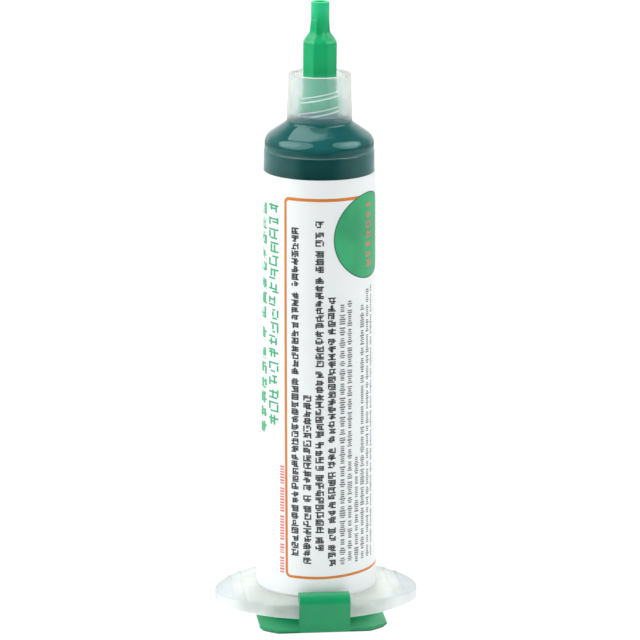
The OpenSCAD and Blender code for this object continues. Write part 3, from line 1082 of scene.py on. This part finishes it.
def frame_path():
    """Top line, rounded corner, left line, rounded corner, lower line."""
    quarter = np.radians(np.linspace(0, 90, 7)[1:])

    def left(z):
        swing = FRAME_SWING * ((FRAME_TOP - z) / FRAME_SWING_LENGTH) ** 2
        return angle_at(FRAME_LEFT + swing, z)

    def corner(z, up, t):
        across = left(z) + angle_of(FRAME_CORNER, z) * (1 + math.cos(t))
        return (across, z + up * FRAME_CORNER * (1 + up * math.sin(t)))

    top_start = left(FRAME_TOP) + angle_of(FRAME_CORNER, FRAME_TOP)
    path = [(a, FRAME_TOP) for a in np.linspace(FRAME_TOP_END, top_start, 60)]
    path += [corner(FRAME_TOP, -1, t + math.pi / 2) for t in quarter]
    sides = np.linspace(FRAME_TOP - FRAME_CORNER, FRAME_LOW + FRAME_CORNER, 16)
    path += [(left(z), z) for z in sides[1:]]
    path += [corner(FRAME_LOW, 1, t + math.pi) for t in quarter]
    low_start = left(FRAME_LOW) + angle_of(FRAME_CORNER, FRAME_LOW)
    for a in np.linspace(low_start, FRAME_LOW_END, 90)[1:]:
        path.append((a, FRAME_LOW + FRAME_LOW_RISE * float(smooth(a / FRAME_LOW_RISE_END))))
    return path


def frame_width(z):
    """Width of the frame's line at a height. The top line is a little wider than the rest."""
    share = float(smooth((z - FRAME_TOP + FRAME_CORNER) / FRAME_WIDENING))
    return FRAME_PEN + (FRAME_TOP_PEN - FRAME_PEN) * share


frame_line = frame_path()
frame_print = Print("print_frame", "orange")
frame_print.ribbon(frame_line, [frame_width(z) for _, z in frame_line])

# Round sign at the top right, with a thin dark outline
DISC_TURN, DISC_Z, DISC_PRINT_R, DISC_LINE = 59.5, 59.92, 6.86, 0.2
outline_print = Print("print_disc_outline", "rim_green", 1)
outline_print.disc(DISC_TURN, DISC_Z, DISC_PRINT_R + DISC_LINE)
disc_print = Print("print_disc", "green", 2)
disc_print.disc(DISC_TURN, DISC_Z, DISC_PRINT_R)

# Columns of small print, each one (left, right, top, foot)
DARK_COLUMNS = (
    (-4.007, -2.843, 61.8, 6.8),
    (-2.078, -0.748, 34.3, 5.3),
    (-0.083, 1.314, 63.0, 7.0),
    (1.979, 3.259, 50.5, 4.9),
)
GREY_COLUMNS = (
    (3.88, 4.83, 49.2, 5.5),
    (5.18, 5.94, 49.7, 5.6),
    (6.31, 6.97, 23.4, 5.6),
    (7.29, 7.92, 48.6, 5.6),
    (8.20, 8.66, 51.0, 5.7),
    (8.88, 9.14, 51.4, 5.7),
)
RED_COLUMN = (-5.90, -5.16, 22.0, 3.9)
MARK_COLUMN = (8.22, 9.02, 65.4, 53.9)
OUTER_TITLE = (-8.996, -8.10, 64.8, 26.6)
INNER_TITLE = (-7.748, -6.152, 65.4, 27.2)

dark_print = Print("print_dark_lines", "dark")
for column in DARK_COLUMNS:
    signs(dark_print, *column, pen=0.235)
grey_print = Print("print_grey_lines", "grey")
for column in GREY_COLUMNS:
    words(grey_print, *column, gap=0.14)
red_print = Print("print_red_lines", "red")
words(red_print, *RED_COLUMN, letter=0.26, gap=0.20, word=(4, 9), space=0.5, fill=0.9)
mark_print = Print("print_disc_marks", "mark_red", 3)
signs(mark_print, *MARK_COLUMN, gap=0.52, pen=0.2, strokes=(3, 3), pause=0.0)
teal_print = Print("print_title", "teal")
signs(teal_print, *OUTER_TITLE, tall=1.9, gap=0.55, pen=0.33, strokes=(3, 4))
signs(teal_print, *INNER_TITLE, tall=1.7, gap=0.5, pen=0.30, strokes=(3, 3))

for sheet in (
    frame_print,
    outline_print,
    disc_print,
    dark_print,
    grey_print,
    red_print,
    mark_print,
    teal_print,
):
    sheet.build()

# Piston and end cap, which are the CAD solids with softened edges
EDGE_ROUND, EDGE_ANGLE = 0.14, math.radians(40)
for name, mat in (("piston", piston_mat), ("end_cap", end_mat)):
    node = frame["nodes"][name]
    node.data.materials.clear()
    node.data.materials.append(mat)
    soften = node.modifiers.new("edges", "BEVEL")
    soften.width = EDGE_ROUND * MM
    soften.segments = 3
    soften.limit_method = "ANGLE"
    soften.angle_limit = EDGE_ANGLE
    soften.harden_normals = True

# Floor. Lengths from here on are in metres. Away from the object and towards the camera its colour is
# darker, a painted shade, so that there the floor lights and mirrors the object less.
TABLE_LEFT, TABLE_RIGHT, TABLE_NEAR, TABLE_FAR = -0.8, 0.8, -0.6, 0.8
TABLE_DARK, TABLE_LIGHT = 0.88, 0.91
# Where the floor's painted shade sets in and how dark it gets, away from the object and towards the camera
FADE_REACH, FADE_TO = (0.20, 0.37), 0.7
NEAR_REACH, NEAR_TO = (0.24, 0.37), 0.12
TABLE_GLOW, TABLE_GLOW_SHARE = 1.09, 0.92


def from_view(x, y, z):
    """A point or direction given in the camera's own plan (x right, y away, z up) in the row frame."""
    c, s = math.cos(YAW), math.sin(YAW)
    return Vector((x * c + y * s, -x * s + y * c, z))


def looked_at(nodes, links):
    """1 for what is seen straight on or through clear plastic, and 0 for light that a surface scattered."""
    path = nodes.new("ShaderNodeLightPath").outputs
    seen = math_node(nodes, links, "MAXIMUM", path["Is Camera Ray"], path["Is Transmission Ray"])
    unscattered = math_node(nodes, links, "LESS_THAN", path["Diffuse Depth"], 0.5)
    return math_node(nodes, links, "MULTIPLY", seen, unscattered)


def table_material():
    mat, nodes, links, out = node_material("table_top")
    grain = object_noise(nodes, links, TABLE_GRAIN)
    top = ramped(nodes, links, grain, (0.35, grey(TABLE_DARK)), (0.65, grey(TABLE_LIGHT)))
    away = vector_node(nodes, links, "LENGTH", object_place(nodes)).outputs["Value"]
    toward_camera = from_view(0, -1, 0)
    ahead = vector_node(nodes, links, "DOT_PRODUCT", object_place(nodes), toward_camera).outputs["Value"]
    # Painted shade: the floor's colour darkens away from the object and towards the camera.
    fade = ranged(nodes, links, away, FADE_REACH, (1.0, FADE_TO), "SMOOTHSTEP")
    near = ranged(nodes, links, ahead, NEAR_REACH, (1.0, NEAR_TO), "SMOOTHSTEP")
    both = math_node(nodes, links, "MULTIPLY", fade, near)
    diffuse = nodes.new("ShaderNodeBsdfDiffuse")
    links.new(blended(nodes, links, 1.0, top, both, "MULTIPLY"), diffuse.inputs["Color"])
    glow = nodes.new("ShaderNodeEmission")
    glow.inputs["Color"].default_value = (1, 1, 1, 1)
    glow.inputs["Strength"].default_value = TABLE_GLOW
    share = math_node(nodes, links, "MULTIPLY", looked_at(nodes, links), TABLE_GLOW_SHARE)
    surface = mixed_shader(nodes, links, share, diffuse.outputs["BSDF"], glow.outputs["Emission"])
    links.new(surface, out.inputs["Surface"])
    return mat


def floor():
    plan = (
        (TABLE_LEFT, TABLE_NEAR),
        (TABLE_RIGHT, TABLE_NEAR),
        (TABLE_RIGHT, TABLE_FAR),
        (TABLE_LEFT, TABLE_FAR),
    )
    mesh = bpy.data.meshes.new("table")
    mesh.from_pydata([tuple(from_view(x, y, 0)) for x, y in plan], [], [(0, 1, 2, 3)])
    mesh.materials.append(table_material())
    obj = bpy.data.objects.new("table", mesh)
    bpy.context.scene.collection.objects.link(obj)
    return obj


# Lamps. Side lamps are (azimuth, elevation, distance, half angle, radiance), the angles in degrees.
LAMPS_AIM = Vector((0, 0, 0.08))
SIDE_LAMPS = {
    "left_softbox": (-66, 40, 0.52, 35, 1.7),
    "left_core": (-78, 38, 0.50, 22, 1.2),
    "right_softbox": (78, 40, 0.52, 29, 1.7),
    "right_core": (84, 38, 0.50, 18, 1.2),
}
FRONT_LAMP = (0, 20, 0.80, 30, 0.22)
OVERHEAD_AT, OVERHEAD_DIAMETER, OVERHEAD_RADIANCE = (-0.035, 0.330, 0.58), 0.522, 2.02


def lamp(name, place_at, diameter, radiance, aim=None):
    """A round softbox. It faces the object, or straight down without an aim."""
    data = bpy.data.lights.new(name, "AREA")
    data.shape = "DISK"
    data.size = diameter
    data.energy = math.pi * diameter**2 * radiance
    obj = bpy.data.objects.new(name, data)
    obj.location = place_at
    if aim is not None:
        obj.rotation_mode = "QUATERNION"
        obj.rotation_quaternion = (aim - place_at).to_track_quat("-Z", "Y")
    bpy.context.scene.collection.objects.link(obj)
    return obj


def side_lamp(name, azimuth, elevation, distance, half_angle, radiance):
    """A softbox at an azimuth from the camera's side, right positive, that looks half_angle large from
    the object."""
    a, e = math.radians(azimuth), math.radians(elevation)
    way = from_view(math.sin(a) * math.cos(e), -math.cos(a) * math.cos(e), math.sin(e))
    diameter = 2 * distance * math.tan(math.radians(half_angle))
    return lamp(name, LAMPS_AIM + way * distance, diameter, radiance, LAMPS_AIM)


# World. Its stops go from the camera's side to the far side, and from level to overhead.
DEPTH_STOPS = ((0.30, grey(0.08)), (0.55, grey(0.3)), (0.80, grey(0.38)), (0.92, grey(1)))
HEIGHT_STOPS = ((0.45, grey(1)), (0.75, grey(0.15)))


def world():
    """White where it is looked at, and a dim room with a bright far side for light and reflections."""
    w = bpy.data.worlds.new("studio")
    bpy.context.scene.world = w
    w.use_nodes = True
    nodes, links = w.node_tree.nodes, w.node_tree.links
    nodes.clear()
    out = nodes.new("ShaderNodeOutputWorld")
    coord = nodes.new("ShaderNodeTexCoord")
    turn = nodes.new("ShaderNodeMapping")
    turn.inputs["Rotation"].default_value = (0, 0, YAW)
    links.new(coord.outputs["Generated"], turn.inputs["Vector"])
    split = nodes.new("ShaderNodeSeparateXYZ")
    links.new(turn.outputs["Vector"], split.inputs["Vector"])
    depth = ranged(nodes, links, split.outputs["Y"], (-1.0, 1.0))
    back = ramped(nodes, links, depth, *DEPTH_STOPS)
    height = ramped(nodes, links, split.outputs["Z"], *HEIGHT_STOPS)
    room = nodes.new("ShaderNodeBackground")
    links.new(blended(nodes, links, 1.0, back, height, "MULTIPLY"), room.inputs["Color"])
    white = nodes.new("ShaderNodeBackground")
    white.inputs["Color"].default_value = (1, 1, 1, 1)
    seen = looked_at(nodes, links)
    both = mixed_shader(nodes, links, seen, room.outputs["Background"], white.outputs["Background"])
    links.new(both, out.inputs["Surface"])


table = floor()
for name, settings in SIDE_LAMPS.items():
    side_lamp(name, *settings)
lamp("overhead_softbox", from_view(*OVERHEAD_AT), OVERHEAD_DIAMETER, OVERHEAD_RADIANCE)
front_lamp = side_lamp("front_softbox", *FRONT_LAMP)
front_lamp.visible_glossy = False
table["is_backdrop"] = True
world()

# Camera, fitted to the photograph
CAMERA_AT = (0.00033, -0.5523, 0.19042)
PITCH, ROLL = math.radians(14.32), math.radians(0.43)
LENS_MM, SENSOR_MM = 196.56, 36.0
CLIP_NEAR, CLIP_FAR = 0.05, 20


def photo_camera():
    data = bpy.data.cameras.new("camera")
    data.lens = LENS_MM
    data.sensor_width = SENSOR_MM
    data.clip_start = CLIP_NEAR
    data.clip_end = CLIP_FAR
    right = Vector((1, 0, 0))
    up = Vector((0, math.sin(PITCH), math.cos(PITCH)))
    ahead = Vector((0, math.cos(PITCH), -math.sin(PITCH)))
    rolled_right = right * math.cos(ROLL) + up * math.sin(ROLL)
    rolled_up = up * math.cos(ROLL) - right * math.sin(ROLL)
    axes = [from_view(*v) for v in (rolled_right, rolled_up, -ahead)]
    basis = Matrix(axes).transposed().to_4x4()
    basis.translation = from_view(*CAMERA_AT)
    obj = bpy.data.objects.new("camera", data)
    bpy.context.scene.collection.objects.link(obj)
    obj.matrix_world = basis
    return obj


bpy.context.scene.camera = photo_camera()
bpy.context.scene.view_settings.view_transform = "Standard"

boxes = {"cad": cad_box, "visual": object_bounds()}
{k: [list(v[0]), list(v[1])] for k, v in boxes.items()}
